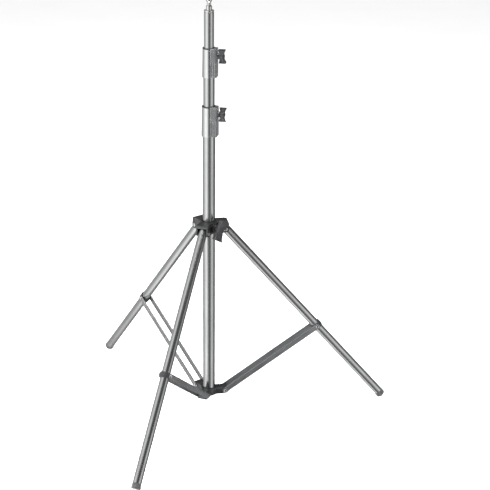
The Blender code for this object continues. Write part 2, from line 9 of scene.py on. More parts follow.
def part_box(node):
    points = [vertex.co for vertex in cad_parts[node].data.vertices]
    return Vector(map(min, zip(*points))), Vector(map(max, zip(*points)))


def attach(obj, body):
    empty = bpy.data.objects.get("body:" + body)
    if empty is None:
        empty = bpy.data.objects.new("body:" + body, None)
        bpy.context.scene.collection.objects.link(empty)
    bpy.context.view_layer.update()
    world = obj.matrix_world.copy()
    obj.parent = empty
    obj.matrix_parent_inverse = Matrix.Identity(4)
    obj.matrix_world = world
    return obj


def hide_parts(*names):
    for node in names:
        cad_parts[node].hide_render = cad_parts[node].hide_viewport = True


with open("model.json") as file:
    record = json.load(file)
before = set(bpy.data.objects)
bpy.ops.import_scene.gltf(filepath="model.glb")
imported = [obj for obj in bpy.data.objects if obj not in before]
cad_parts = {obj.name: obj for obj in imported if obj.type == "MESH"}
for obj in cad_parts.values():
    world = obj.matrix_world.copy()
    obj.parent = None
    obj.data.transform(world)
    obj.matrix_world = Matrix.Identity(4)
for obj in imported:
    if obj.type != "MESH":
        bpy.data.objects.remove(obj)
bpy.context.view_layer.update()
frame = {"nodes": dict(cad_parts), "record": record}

# ---- the stand's own dimensions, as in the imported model, in metres --------------------------

MM = 0.001
GAP = 0.3 * MM
AZIMUTHS = (0, 120, 240)
LEG_ANGLE = math.radians(40.5)
LEG_PIN_AT = (45 * MM, 562 * MM)
LEG_REACH = 731 * MM
LEG_HEAD = 9 * MM
LEG_RADIUS = 12.5 * MM
FOOT_LENGTH = 16 * MM
BRACE_ON_LEG = 416 * MM
BRACE_PIN_AT = (46 * MM, 59 * MM)
BAR_INSIDE = 14.4 * MM
BAR_THICKNESS = 2.4 * MM
BAR_WIDTH = 15 * MM
RIB = 1.1 * MM
HEAD = 1.8 * MM
KNOB_AZIMUTH = 300
COLLAR_LOW, COLLAR_HIGH = -10 * MM, 23 * MM
CHEEK_IN, CHEEK_OUT = 13 * MM, 18 * MM
SHARP_ANGLE = 38
LEG_PIN, BRACE_PIN, BOLT, BORE = 3 * MM, 2.5 * MM, 3 * MM, 3.3 * MM
COLLAR_RADIUS = 25.5 * MM
COLLAR_BOSS_END = 37 * MM
COLLAR_KNOB_UP = 6 * MM
COLLAR_KNOB_TURN = -30
ROOF_UNDER = 18.6 * MM
LUG_HALF = 13.7 * MM
RING_SCREW_AT = (31 * MM, 7 * MM)
CLAMP_TURN = -20
SLEEVE_WALL = 1.5 * MM
SLEEVE_TAPER = 1.4 * MM
HOUSING_WALL = 8.2 * MM
CLAMP_BOSS_END = 12.2 * MM
SCREW_SIDE, SCREW_DROP = 4 * MM, 19 * MM
PAD_LENGTH = 1.9 * MM
SCREW_GRIP = 10 * MM
CLAMPS = {
    "lower": {"held": 17.5 * MM, "inner": 15.5 * MM, "top": 913 * MM, "height": 82 * MM, "turn": -20},
    "upper": {"held": 15.5 * MM, "inner": 13.5 * MM, "top": 1074 * MM, "height": 78 * MM, "turn": 15},
}
CLAMP_KNOB = {"span": 39 * MM, "width": 13 * MM, "depth": 19.5 * MM, "hub": 7.5 * MM,
              "root": 5.3 * MM, "heel": 1.5 * MM, "flare": -1.2 * MM, "grip": 3}
COLLAR_KNOB = {"span": 58 * MM, "width": 31 * MM, "depth": 26 * MM, "hub": 11 * MM,
               "root": 12 * MM, "heel": 3 * MM, "flare": 8.3 * MM, "grip": 4}

# ---- materials ------------------------------------------------------------------------------


class Shader:
    """A small node graph round one Principled shader."""

    def __init__(self, name, colour, roughness, metallic=0.0, **extra):
        self.material = bpy.data.materials.new(name)
        self.material.use_nodes = True
        self.tree = self.material.node_tree
        self.shader = self.tree.nodes["Principled BSDF"]
        self.set("Base Color", (*colour, 1))
        self.set("Roughness", roughness)
        self.set("Metallic", metallic)
        for key, value in extra.items():
            self.set(key.replace("_", " "), value)
        self.coord = self.node("ShaderNodeTexCoord").outputs["Object"]

    def set(self, socket, value):
        self.shader.inputs[socket].default_value = value

    def node(self, kind, **settings):
        made = self.tree.nodes.new(kind)
        for key, value in settings.items():
            setattr(made, key, value)
        return made

    def link(self, out, into):
        self.tree.links.new(out, into)

    def noise(self, scale, stretch=(1, 1, 1), detail=4.0, rough=0.55, distortion=0.0):
        """Noise on the piece's own axes, squeezed or drawn out along each."""
        mapping = self.node("ShaderNodeMapping")
        mapping.inputs["Scale"].default_value = stretch
        self.link(self.coord, mapping.inputs["Vector"])
        noise = self.node("ShaderNodeTexNoise")
        noise.inputs["Scale"].default_value = scale
        noise.inputs["Detail"].default_value = detail
        noise.inputs["Roughness"].default_value = rough
        noise.inputs["Distortion"].default_value = distortion
        self.link(mapping.outputs[0], noise.inputs["Vector"])
        return noise.outputs["Fac"]

    def ramp(self, value, *stops):
        """A value ramp or, where the stops hold colours, a colour ramp."""
        ramp = self.node("ShaderNodeValToRGB")
        elements = ramp.color_ramp.elements
        while len(elements) < len(stops):
            elements.new(0.5)
        for element, (at, level) in zip(elements, stops):
            element.position = at
            element.color = (*level, 1) if isinstance(level, tuple) else (level, level, level, 1)
        self.link(value, ramp.inputs["Fac"])
        return ramp.outputs["Color"]

    def mix(self, factor, first, second, blend="MIX"):
        mix = self.node("ShaderNodeMix", data_type="RGBA", blend_type=blend)
        for value, socket in ((factor, mix.inputs["Factor"]), (first, mix.inputs["A"]),
                              (second, mix.inputs["B"])):
            if isinstance(value, bpy.types.NodeSocket):
                self.link(value, socket)
            elif isinstance(value, tuple):
                socket.default_value = (*value, 1)
            else:
                socket.default_value = value
        return mix.outputs["Result"]

    def bumps(self, *layers):
        """Stacked bumps, each (height, strength, distance)."""
        normal = None
        for height, strength, distance in layers:
            bump = self.node("ShaderNodeBump")
            bump.inputs["Strength"].default_value = strength
            bump.inputs["Distance"].default_value = distance
            self.link(height, bump.inputs["Height"])
            if normal is not None:
                self.link(normal, bump.inputs["Normal"])
            normal = bump.outputs["Normal"]
        self.link(normal, self.shader.inputs["Normal"])

    def colour(self, out):
        self.link(out, self.shader.inputs["Base Color"])

    def rough(self, out):
        self.link(out, self.shader.inputs["Roughness"])

    def edges(self, low, high):
        """1 on the outward edges of a fine mesh, 0 elsewhere."""
        geometry = self.node("ShaderNodeNewGeometry")
        return self.ramp(geometry.outputs["Pointiness"], (low, 0.0), (high, 1.0))


def satin_tube():
    """Satin plated tube: ground lines round it, sliding marks along it, faint handling smears."""
    made = Shader("satin_tube", (0.66, 0.67, 0.67), 0.24, 1.0, Anisotropic=0.35)
    ground = made.noise(1, (60, 60, 2600), 3.0)
    drawn = made.noise(1, (1500, 1500, 9), 3.0)
    smear = made.noise(16, (1, 1, 0.5), 5.0, 0.6, 0.8)
    marks = made.ramp(made.noise(1, (420, 420, 5), 2.0), (0.66, 0.0), (0.70, 1.0))
    made.rough(made.mix(0.5, made.ramp(smear, (0.3, 0.17), (0.7, 0.30)),
                        made.ramp(ground, (0.3, 0.20), (0.7, 0.30))))
    toned = made.mix(made.ramp(smear, (0.35, 0.0), (0.75, 1.0)),
                     (0.70, 0.71, 0.71), (0.60, 0.61, 0.60))
    made.colour(made.mix(marks, toned, (0.50, 0.51, 0.51)))
    made.bumps((ground, 0.10, 0.00005), (drawn, 0.06, 0.00005))
    return made.material


def clamp_metal():
    """Bright satin sleeve, brushed along its length, with a few fine scratches."""
    made = Shader("clamp_metal", (0.80, 0.81, 0.81), 0.22, 1.0, Anisotropic=0.4)
    brushed = made.noise(1, (900, 900, 14), 4.0)
    smear = made.noise(30, (1, 1, 0.6), 4.0, 0.6, 0.6)
    scratch = made.ramp(made.noise(1, (160, 700, 700), 2.0, 0.5, 0.4), (0.70, 0.0), (0.73, 1.0))
    made.rough(made.ramp(smear, (0.3, 0.18), (0.7, 0.28)))
    base = made.ramp(brushed, (0.3, (0.74, 0.75, 0.75)), (0.7, (0.84, 0.85, 0.85)))
    made.colour(made.mix(scratch, base, (0.62, 0.63, 0.63)))
    made.bumps((brushed, 0.12, 0.00005), (scratch, 0.10, 0.00004))
    return made.material


def black_plastic():
    """Moulded glass-filled nylon: fine spark grain, soft sheen, a little dust, and outward edges painted
    lighter, partly as wear from rubbing and partly as a painted edge highlight.
    """
    made = Shader("black_plastic", (0.03, 0.031, 0.033), 0.36, 0.0, Specular_IOR_Level=0.6,
                  Coat_Weight=0.12, Coat_Roughness=0.18)
    grain = made.noise(2600, (1, 1, 1), 2.0, 0.6)
    pits = made.noise(700, (1, 1, 1), 3.0, 0.5)
    cloud = made.noise(45, (1, 1, 1), 5.0, 0.6, 0.5)
    base = made.mix(made.ramp(cloud, (0.3, 0.0), (0.75, 1.0)),
                    (0.008, 0.0084, 0.009), (0.019, 0.0194, 0.0205))
    worn = made.mix(made.ramp(pits, (0.45, 0.0), (0.62, 1.0)), (0.0, 0.0, 0.0), (1.0, 1.0, 1.0))
    # Outward edges painted lighter grey: partly wear from rubbing, partly a painted highlight on rounded
    # edges such as the clevis nose.
    edge_wear_and_highlight = made.mix(1.0, made.edges(0.52, 0.60), worn, "MULTIPLY")
    made.colour(made.mix(edge_wear_and_highlight, base, (0.12, 0.12, 0.125)))
    made.rough(made.mix(edge_wear_and_highlight, made.ramp(cloud, (0.3, 0.30), (0.7, 0.46)), (0.24, 0.24, 0.24)))
    made.bumps((pits, 0.10, 0.0001), (grain, 0.16, 0.00006))
    return made.material


def housing_plastic():
    """The clamp housings' dark grey moulding, a little glossier than the collars, its outward edges painted
    lighter grey as a painted highlight.
    """
    made = Shader("housing_plastic", (0.05, 0.051, 0.053), 0.24, 0.0, Specular_IOR_Level=1.0,
                  Coat_Weight=0.8, Coat_Roughness=0.12, Coat_IOR=1.7)
    grain = made.noise(2200, (1, 1, 1), 2.0, 0.6)
    cloud = made.noise(60, (1, 1, 0.6), 5.0, 0.6, 0.5)
    base = made.ramp(cloud, (0.3, (0.022, 0.023, 0.025)), (0.7, (0.045, 0.046, 0.048)))
    # Outward edges painted lighter grey: a painted highlight on the housing's rounded corners.
    made.colour(made.mix(made.edges(0.52, 0.60), base, (0.20, 0.20, 0.205)))
    made.rough(made.ramp(cloud, (0.3, 0.22), (0.7, 0.36)))
    made.bumps((grain, 0.12, 0.00006))
    return made.material


def brace_steel():
    """Dull plated strip: rolled lines along it, cloudy zinc tone, dark rub marks."""
    made = Shader("brace_steel", (0.36, 0.37, 0.38), 0.34, 0.94, Anisotropic=0.3)
    rolled = made.noise(1, (1300, 1300, 10), 4.0)
    cloud = made.noise(26, (1, 1, 0.4), 5.0, 0.6, 0.6)
    rub = made.ramp(made.noise(1, (140, 140, 8), 3.0), (0.58, 0.0), (0.70, 1.0))
    base = made.ramp(cloud, (0.3, (0.30, 0.31, 0.32)), (0.7, (0.44, 0.45, 0.46)))
    made.colour(made.mix(rub, base, (0.24, 0.245, 0.25)))
    made.rough(made.mix(0.5, made.ramp(cloud, (0.3, 0.28), (0.7, 0.42)),
                        made.ramp(rolled, (0.3, 0.26), (0.7, 0.38))))
    made.bumps((rolled, 0.16, 0.00008), (cloud, 0.05, 0.0003))
    return made.material


def bright_steel():
    """Bright plated fastener with turning lines and slight tarnish."""
    made = Shader("bright_steel", (0.86, 0.86, 0.85), 0.16, 1.0)
    turned_lines = made.noise(1, (80, 80, 3000), 2.0)
    tarnish = made.noise(140, (1, 1, 1), 4.0, 0.6, 0.5)
    made.colour(made.ramp(tarnish, (0.35, (0.90, 0.90, 0.89)), (0.75, (0.74, 0.73, 0.71))))
    made.rough(made.ramp(tarnish, (0.3, 0.10), (0.7, 0.24)))
    made.bumps((turned_lines, 0.08, 0.00004))
    return made.material


def rubber():
    """Matt moulded rubber, scuffed and dusty."""
    made = Shader("rubber", (0.024, 0.024, 0.025), 0.72, 0.0, Sheen_Weight=0.15)
    grain = made.noise(1500, (1, 1, 1), 3.0, 0.6)
    dust = made.noise(110, (1, 1, 1), 5.0, 0.65, 0.4)
    made.colour(made.ramp(dust, (0.4, (0.020, 0.020, 0.021)), (0.8, (0.075, 0.073, 0.070))))
    made.rough(made.ramp(dust, (0.3, 0.60), (0.7, 0.85)))
    made.bumps((grain, 0.25, 0.0001), (dust, 0.10, 0.0003))
    return made.material


def grey_plastic():
    """Light grey moulding, slightly yellowed and smudged."""
    made = Shader("grey_plastic", (0.55, 0.55, 0.53), 0.42)
    grain = made.noise(1800, (1, 1, 1), 3.0, 0.6)
    smudge = made.noise(90, (1, 1, 1), 5.0, 0.6, 0.4)
    made.colour(made.ramp(smudge, (0.35, (0.62, 0.62, 0.60)), (0.75, (0.42, 0.42, 0.40))))
    made.rough(made.ramp(smudge, (0.3, 0.36), (0.7, 0.52)))
    made.bumps((grain, 0.12, 0.00006))
    return made.material


MATERIALS = {
    "satin_tube": satin_tube(),
    "clamp_metal": clamp_metal(),
    "black_plastic": black_plastic(),
    "housing_plastic": housing_plastic(),
    "brace_steel": brace_steel(),
    "bright_steel": bright_steel(),
    "rubber": rubber(),
    "grey_plastic": grey_plastic(),
}
NODE_SLOT = {row["node"]: row["material_slot"] for row in frame["record"]["subparts"]}
NODE_BODY = {node: body for body, nodes in frame["record"]["behaviour"]["bodies"].items()
             for node in nodes}

# ---- mesh tools -----------------------------------------------------------------------------


def fillet(points, radius, steps=4, closed=True):
    """A polyline with its corners rounded; corners that lie on the axis stay as they are."""
    rounded = []
    count = len(points)
    for i, point in enumerate(points):
        here = Vector(point)
        ends = not closed and i in (0, count - 1)
        if ends or here.x == 0:
            rounded.append(tuple(here))
            continue
        back = Vector(points[i - 1]) - here
        ahead = Vector(points[(i + 1) % count]) - here
        reach = min(radius, back.length * 0.45, ahead.length * 0.45)
        start = here + back.normalized() * reach
        end = here + ahead.normalized() * reach
        for k in range(steps + 1):
            t = k / steps
            rounded.append(tuple(start * (1 - t) ** 2 + here * 2 * t * (1 - t) + end * t ** 2))
    return rounded


def lathe(profile, steps=96):
    """A bmesh turned about Z from (radius, height) points; an open profile ends on the axis."""
    work = bmesh.new()
    rings = []
    for radius, height in profile:
        if radius == 0:
            rings.append([work.verts.new((0, 0, height))])
            continue
        rings.append([work.verts.new((radius * math.cos(math.tau * k / steps),
                                      radius * math.sin(math.tau * k / steps), height))
                      for k in range(steps)])
    pairs = list(zip(rings, rings[1:]))
    if profile[0][0] > 0:
        pairs.append((rings[-1], rings[0]))
    for upper, lower in pairs:
        for k in range(steps):
            n = (k + 1) % steps
            corners = [upper[k % len(upper)], upper[n % len(upper)],
                       lower[n % len(lower)], lower[k % len(lower)]]
            corners = list(dict.fromkeys(corners))
            if len(corners) > 2:
                work.faces.new(corners)
    bmesh.ops.recalc_face_normals(work, faces=work.faces)
    return work


def turned(points, radius=0.4 * MM, steps=96):
    """A turned solid with rounded corners."""
    return lathe(fillet(points, radius, 4, points[0][0] > 0), steps)


def bore_of(radius, low, high, steps=48):
    """A plain round cutter on Z."""
    return lathe([(0, high), (radius, high), (radius, low), (0, low)], steps)


def pipe(outer, inner, low, high, steps=96):
    return turned([(outer, high), (outer, low), (inner, low), (inner, high)], 0.35 * MM, steps)


def block(low, high, radius, steps=3):
    """A box with rounded edges."""
    work = bmesh.new()
    bmesh.ops.create_cube(work, size=1.0)
    low, high = Vector(low), Vector(high)
    bmesh.ops.scale(work, vec=high - low, verts=work.verts)
    bmesh.ops.translate(work, vec=(low + high) / 2, verts=work.verts)
    bmesh.ops.bevel(work, geom=list(work.edges), offset=radius, segments=steps, affect="EDGES",
                    profile=0.5)
    return work


def extrusion(outline, half, radius, steps=3):
    """A closed (x, z) outline made solid from y = -half to half, its rims rounded."""
    work = bmesh.new()
    near = [work.verts.new((x, -half, z)) for x, z in outline]
    far = [work.verts.new((x, half, z)) for x, z in outline]
    work.faces.new(near)
    work.faces.new(far[::-1])
    rims = []
    for k in range(len(outline)):
        n = (k + 1) % len(outline)
        work.faces.new((near[n], near[k], far[k], far[n]))
    bmesh.ops.recalc_face_normals(work, faces=work.faces)
    for edge in work.edges:
        if abs(edge.verts[0].co.y - edge.verts[1].co.y) < 1e-9:
            rims.append(edge)
    bmesh.ops.bevel(work, geom=rims, offset=radius, segments=steps, affect="EDGES", profile=0.5)
    return work


def arc(centre, radius, start, end, steps):
    points = []
    for k in range(steps + 1):
        angle = math.radians(start + (end - start) * k / steps)
        points.append((centre[0] + radius * math.cos(angle), centre[1] + radius * math.sin(angle)))
    return points


def moved(work, *matrices):
    """The same bmesh after one or more transforms, the last applied first."""
    whole = Matrix.Identity(4)
    for matrix in matrices:
        whole = whole @ matrix
    bmesh.ops.transform(work, matrix=whole, verts=work.verts)
    return work


def shift(x=0, y=0, z=0):
    return Matrix.Translation((x, y, z))


def spin(degrees, axis):
    return Matrix.Rotation(math.radians(degrees), 4, axis)


def joined(*parts):
    """One bmesh that holds all the shells."""
    whole = parts[0]
    for part in parts[1:]:
        mesh = bpy.data.meshes.new("part")
        part.to_mesh(mesh)
        part.free()
        whole.from_mesh(mesh)
        bpy.data.meshes.remove(mesh)
    return whole


def as_object(work, name):
    mesh = bpy.data.meshes.new(name)
    work.to_mesh(mesh)
    work.free()
    made = bpy.data.objects.new(name, mesh)
    bpy.context.scene.collection.objects.link(made)
    return made


def applied(made):
    """Replace a piece's mesh by its modifiers' result."""
    graph = bpy.context.evaluated_depsgraph_get()
    mesh = bpy.data.meshes.new_from_object(made.evaluated_get(graph))
    made.modifiers.clear()
    made.data = mesh
    return made


def drilled(made, *cutters):
    """Cut one object by some bmeshes, which leave nothing behind."""
    tools = []
    for cutter in cutters:
        tool = as_object(cutter, "cutter")
        change = made.modifiers.new("cut", "BOOLEAN")
        change.operation = "DIFFERENCE"
        change.solver = "EXACT"
        change.object = tool
        tools.append(tool)
    applied(made)
    for tool in tools:
        bpy.data.objects.remove(tool)
    return made


def moulded(work, name, voxel, passes):
    """Melt overlapping shells into one moulding with soft edges."""
    made = as_object(work, name)
    melt = made.modifiers.new("melt", "REMESH")
    melt.mode = "VOXEL"
    melt.voxel_size = voxel
    soften = made.modifiers.new("soften", "SMOOTH")
    soften.iterations = passes
    soften.factor = 0.5
    return applied(made)


def finished(made, nodes, place=None, look=None):
    """Put a piece in its place, give it its material and let it ride with the nodes it replaces."""
    nodes = [nodes] if isinstance(nodes, str) else nodes
    made.name = nodes[0] + "_fine"
    made.data.name = made.name
    if place is not None:
        made.matrix_world = place
    made.data.materials.clear()
    made.data.materials.append(MATERIALS[look or NODE_SLOT[nodes[0]]])
    made.data.shade_smooth()
    made.data.set_sharp_from_angle(angle=math.radians(SHARP_ANGLE))
    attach(made, NODE_BODY[nodes[0]])
    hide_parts(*nodes)
    return made


def from_mesh(work, nodes, place=None, look=None):
    return finished(as_object(work, "piece"), nodes, place, look)


# ---- column ---------------------------------------------------------------------------------


def column():
    """The three tubes, the plug at the foot, and the flange and stud on top."""
    for name in ("lower_tube", "middle_tube", "upper_tube"):
        low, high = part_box(name)
        from_mesh(pipe(high.x, high.x - 1.5 * MM, low.z, high.z, 128), name)

    low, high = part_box("column_end_plug")
    radius = high.x
    base = low.z
    plug = turned([(0, base + 5 * MM), (radius, base + 6 * MM), (radius, base + 2 * MM),
                   (radius - 4 * MM, base), (8 * MM, base), (7 * MM, base + 1.5 * MM),
                   (0, base + 1.5 * MM)], 0.8 * MM)
    from_mesh(plug, "column_end_plug")

    low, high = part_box("top_flange")
    radius, top = high.x, high.z
    seam = top - 4.7 * MM
    flange = turned([(0, top), (radius - 0.2 * MM, top), (radius, top - 1 * MM),
                     (radius, seam + 1.6 * MM), (radius - 0.7 * MM, seam + 1.2 * MM),
                     (radius - 0.7 * MM, seam + 0.7 * MM), (radius, seam + 0.4 * MM), (radius, seam),
                     (radius - 2 * MM, seam), (radius - 2 * MM, low.z), (0, low.z)], 0.3 * MM)
    from_mesh(flange, "top_flange")

    low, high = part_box("stud")
    foot, head, radius = low.z, high.z, high.x
    waist = radius - 2.2 * MM
    stud = turned([(0, head), (radius - 1.4 * MM, head), (radius, head - 1.4 * MM),
                   (radius, foot + 24 * MM), (waist, foot + 21 * MM), (waist, foot + 13 * MM),
                   (radius, foot + 10 * MM), (radius, foot), (0, foot)], 0.6 * MM)
    stud = as_object(stud, "stud")
    bolt_hole = lathe([(0, 6 * MM), (3.1 * MM, 6 * MM), (3.1 * MM, -9 * MM), (0, -10.5 * MM)], 48)
    bolt_hole = moved(bolt_hole, shift(z=head))
    finished(drilled(stud, bolt_hole), "stud")


# ---- clamps ---------------------------------------------------------------------------------


def split_sleeve(bore, height):
    """The tapered sleeve, open at its split, with a pressed rib along the split's left side."""
    outer = bore + SLEEVE_WALL
    bottom = outer + SLEEVE_TAPER
    ring = fillet([(outer, 0), (bottom, -height), (bore, -height), (bore, 0)], 0.5 * MM, 3)
    start, end = -69.0, 285.3
    steps = 260
    work = bmesh.new()
    rows = []
    for k in range(steps + 1):
        at = start + (end - start) * k / steps
        rise = min(1, max(0, (at - 269.5) / 3.0)) * min(1, max(0, (end + 0.6 - at) / 1.6))
        rise = rise * rise * (3 - 2 * rise)
        turn = math.radians(at)
        row = []
        for radius, z in ring:
            inset = min(1, max(0, -z / (3 * MM))) * min(1, max(0, (z + height) / (3 * MM)))
            lift = 1.0 * MM * rise * inset if radius > bore + 0.4 * MM else 0
            reach = radius + lift
            row.append(work.verts.new((reach * math.cos(turn), reach * math.sin(turn), z)))
        rows.append(row)
    count = len(ring)
    for one, two in zip(rows, rows[1:]):
        for j in range(count):
            n = (j + 1) % count
            work.faces.new((one[j], one[n], two[n], two[j]))
    work.faces.new(rows[0])
    work.faces.new(rows[-1][::-1])
    bmesh.ops.recalc_face_normals(work, faces=work.faces)
    return work


def housing_outline(bore, radius):
    """The housing's plan: a rounded outer wall, then back along the sleeve."""
    left, right = 6.8 * MM, bore + HOUSING_WALL
    front, back = -(bore + SLEEVE_WALL) - 0.4 * MM, 8 * MM
    clear = radius + 0.35 * MM
    outer = []
    corner = 4.2 * MM
    outer += [(left, front + 0.6 * MM), (left + 0.6 * MM, front)]
    outer += arc((right - corner, front + corner), corner, -90, 0, 14)
    outer += arc((right - 1.6 * MM, back - 1.6 * MM), 1.6 * MM, 0, 90, 6)
    dense = []
    for a, b in zip(outer, outer[1:]):
        length = math.dist(a, b)
        parts = max(1, int(length / (0.45 * MM)))
        dense += [(a[0] + (b[0] - a[0]) * k / parts, a[1] + (b[1] - a[1]) * k / parts)
                  for k in range(parts)]
    dense.append(outer[-1])
    high_angle = math.degrees(math.asin(back / clear))
    low_angle = -math.degrees(math.acos(left / clear))
    inner = arc((0, 0), clear, high_angle, low_angle, 48)
    return dense, inner


def clamp_housing(bore, height):
    """The moulded housing: reliefs on its front and side, and a round boss for the screw."""
    outer_sleeve = bore + SLEEVE_WALL
    right = bore + HOUSING_WALL
    front = -outer_sleeve - 0.4 * MM
    low, high = 2 * MM - height, 3 * MM
    levels = [low, low + 0.3 * MM, low + 0.8 * MM, low + 1.6 * MM]
    z = low + 2.4 * MM
    while z < high - 2.0 * MM:
        levels.append(z)
        z += 0.8 * MM
    levels += [high - 1.6 * MM, high - 0.8 * MM, high - 0.3 * MM, high]
    work = bmesh.new()
    rows = []
    for z in levels:
        taper = SLEEVE_TAPER * min(1, max(0, -z / height))
        outline, inner = housing_outline(bore, outer_sleeve + taper)
        near = min(z - low, high - z)
        rim = 1.2 * MM * (1 - min(1, near / (1.6 * MM))) ** 2
        row = []
        for x, y in outline:
            centre_x, centre_y = right - 9 * MM, front + 9 * MM
            away = Vector((x - centre_x, y - centre_y))
            away = away.normalized() * min(away.length, 4 * MM) / (4 * MM)
            relief = 0
            if low + 5 * MM < z < -34 * MM:
                fade = min(1, (z - low - 5 * MM) / (1.2 * MM), (-34 * MM - z) / (1.2 * MM))
                across = x - (right - 9.5 * MM)
                if y < front + 0.1 * MM and abs(across) < 5.2 * MM:
                    relief = fade * min(1, (5.2 * MM - abs(across)) / (0.8 * MM))
                    relief *= min(1, max(0, (abs(across + 0.4 * MM) - 1.4 * MM) / (0.9 * MM)))
                if x > right - 0.1 * MM and front + 6 * MM < y < 5 * MM:
                    relief = fade * min(1, (y - front - 6 * MM) / (0.8 * MM), (5 * MM - y) / (0.8 * MM))
            depth = rim + 1.1 * MM * max(0, relief)
            row.append(work.verts.new((x - away.x * depth, y - away.y * depth, z)))
        for x, y in inner:
            row.append(work.verts.new((x, y, z)))
        rows.append(row)
    count = len(rows[0])
    for one, two in zip(rows, rows[1:]):
        for j in range(count):
            n = (j + 1) % count
            work.faces.new((one[j], one[n], two[n], two[j]))
    work.faces.new(rows[0])
    work.faces.new(rows[-1][::-1])
    bmesh.ops.recalc_face_normals(work, faces=work.faces)
    boss = turned([(0, 4 * MM), (4.4 * MM, 4 * MM), (4.8 * MM, 3.2 * MM), (6.4 * MM, 3.2 * MM),
                   (6.8 * MM, 4 * MM), (8.2 * MM, 4 * MM), (8.4 * MM, 1 * MM), (9.6 * MM, -0.2 * MM),
                   (9.6 * MM, -3 * MM), (0, -3 * MM)], 0.5 * MM)
    boss = moved(boss, shift(right, -SCREW_SIDE, -SCREW_DROP), spin(90, "Y"))
    return joined(work, boss)


def wing_shell(side, span, width, depth, hub, root_half, heel, flare, grip):
    """One wing: narrower at the hub, wide and further out at its tip, with grip ridges."""
    root, tip = hub * 0.5, span / 2
    work = bmesh.new()
    layers = 10
    slabs = []

    def half_width(t):
        return (root_half * (1 - t) + width / 2 * t) * (1 - 0.10 * math.sin(math.pi * t))

    for k in range(layers + 1):
        t = k / layers
        inner = Vector((heel, root)).lerp(Vector((flare, tip)), t)
        outer = Vector((depth * 0.72, root)).lerp(Vector((depth, tip)), t)
        bow = 0.8 * MM * math.sin(math.pi * t)
        half = half_width(t)
        slab = [work.verts.new((inner.x + bow, -half * 0.92, side * inner.y)),
                work.verts.new((outer.x - bow, -half, side * outer.y)),
                work.verts.new((outer.x - bow, half, side * outer.y)),
                work.verts.new((inner.x + bow, half * 0.92, side * inner.y))]
        slabs.append(slab)
    for one, two in zip(slabs, slabs[1:]):
        for j in range(4):
            n = (j + 1) % 4
            work.faces.new((one[j], one[n], two[n], two[j]))
    work.faces.new(slabs[0])
    work.faces.new(slabs[-1][::-1])
    bmesh.ops.recalc_face_normals(work, faces=work.faces)
    sharp = [e for e in work.edges if len(e.link_faces) == 2 and e.calc_face_angle() > 0.7]
    bmesh.ops.bevel(work, geom=sharp, offset=2.0 * MM * min(1, width / (20 * MM)) + 0.6 * MM, segments=4,
                    affect="EDGES", profile=0.5)
    shells = [work]
    for k in range(grip):
        t = 0.42 + 0.44 * k / (grip - 1)
        height = side * (root + (tip - root) * t)
        low = heel + (flare - heel) * t + 3.5 * MM
        high = depth * (0.72 + 0.28 * t) - 2.6 * MM
        half = half_width(t) + 0.35 * MM
        shells.append(block((low, -half, height - 0.7 * MM),
                            (high, half, height + 0.7 * MM), 0.3 * MM, 2))
        half -= 3 * MM
        shells.append(block((high, -half, height - 0.8 * MM),
                            (high + 2.1 * MM, half, height + 0.8 * MM), 0.4 * MM, 2))
    return joined(*shells)


def knob(name, place, span, width, depth, hub, root, heel, flare, grip):
    """A winged knob on local +X, its hub capped and its wings ridged."""
    cap = depth * 0.8
    core = turned([(0, cap), (hub * 0.62, cap), (hub * 0.78, cap - 0.6 * MM), (hub, depth * 0.66),
                   (hub, 1.6 * MM), (hub * 0.9, 0.6 * MM), (BORE, 0.6 * MM),
                   (BORE, SCREW_GRIP + GAP), (0, SCREW_GRIP + GAP)], 0.9 * MM)
    core = moved(core, spin(90, "Y"))
    body = joined(core, *(wing_shell(side, span, width, depth, hub, root, heel, flare, grip)
                         for side in (1, -1)))
    made = moulded(body, name, 0.38 * MM, 5)
    dimple = lathe([(0, 3 * MM), (hub * 0.42, 3 * MM), (hub * 0.42, -0.7 * MM),
                    (hub * 0.30, -1.2 * MM), (0, -1.2 * MM)], 64)
    dimple = moved(dimple, shift(x=cap), spin(90, "Y"))
    finished(drilled(made, dimple), name, place)


def screw_rod(start):
    """A knob's screw on local X, from its tip to its end in the hub."""
    rod = turned([(0, SCREW_GRIP), (BOLT, SCREW_GRIP), (BOLT, start), (0, start)], 0.4 * MM, 48)
    return moved(rod, spin(90, "Y"))


def clamp(side, held, inner, top, height, turn):
    """Sleeve, bush, housing, screw and knob of one clamp."""
    prefix = side + "_clamp"
    place = shift(z=top) @ spin(CLAMP_TURN, "Z")
    bore = held + GAP
    outer = bore + SLEEVE_WALL
    from_mesh(split_sleeve(bore, height), prefix + "_sleeve", place)
    depth = 28 * MM - GAP
    bush = turned([(outer + 0.4 * MM, 2.6 * MM), (outer + 0.4 * MM, GAP), (bore - GAP, GAP),
                   (bore - GAP, -depth), (inner + GAP, -depth), (inner + GAP, 1.6 * MM),
                   (inner + 1.2 * MM, 3 * MM), (outer - 1.2 * MM, 3 * MM)], 0.6 * MM, 128)
    from_mesh(bush, prefix + "_bush", place)
    from_mesh(clamp_housing(bore, height), prefix + "_housing", place, "housing_plastic")
    boss_end = bore + CLAMP_BOSS_END
    seat = place @ shift(boss_end, -SCREW_SIDE, -SCREW_DROP) @ spin(turn, "X")
    knob(prefix + "_knob", seat, **CLAMP_KNOB)
    start = inner + GAP + PAD_LENGTH + GAP - boss_end
    from_mesh(screw_rod(start), prefix + "_screw", seat)


# ---- leg collar -----------------------------------------------------------------------------


def pin_piece(radius, head, half):
    """A pin on Z with a domed head and a thin washer at each end."""
    top = half + HEAD
    side = [(0, top), (head * 0.35, top - 0.05 * MM), (head * 0.7, top - 0.35 * MM),
            (head * 0.93, top - 1.0 * MM), (head, half + 0.25 * MM), (head, half), (radius, half)]
    return lathe(fillet(side + [(r, -z) for r, z in reversed(side)], 0.25 * MM, 3, False), 48)


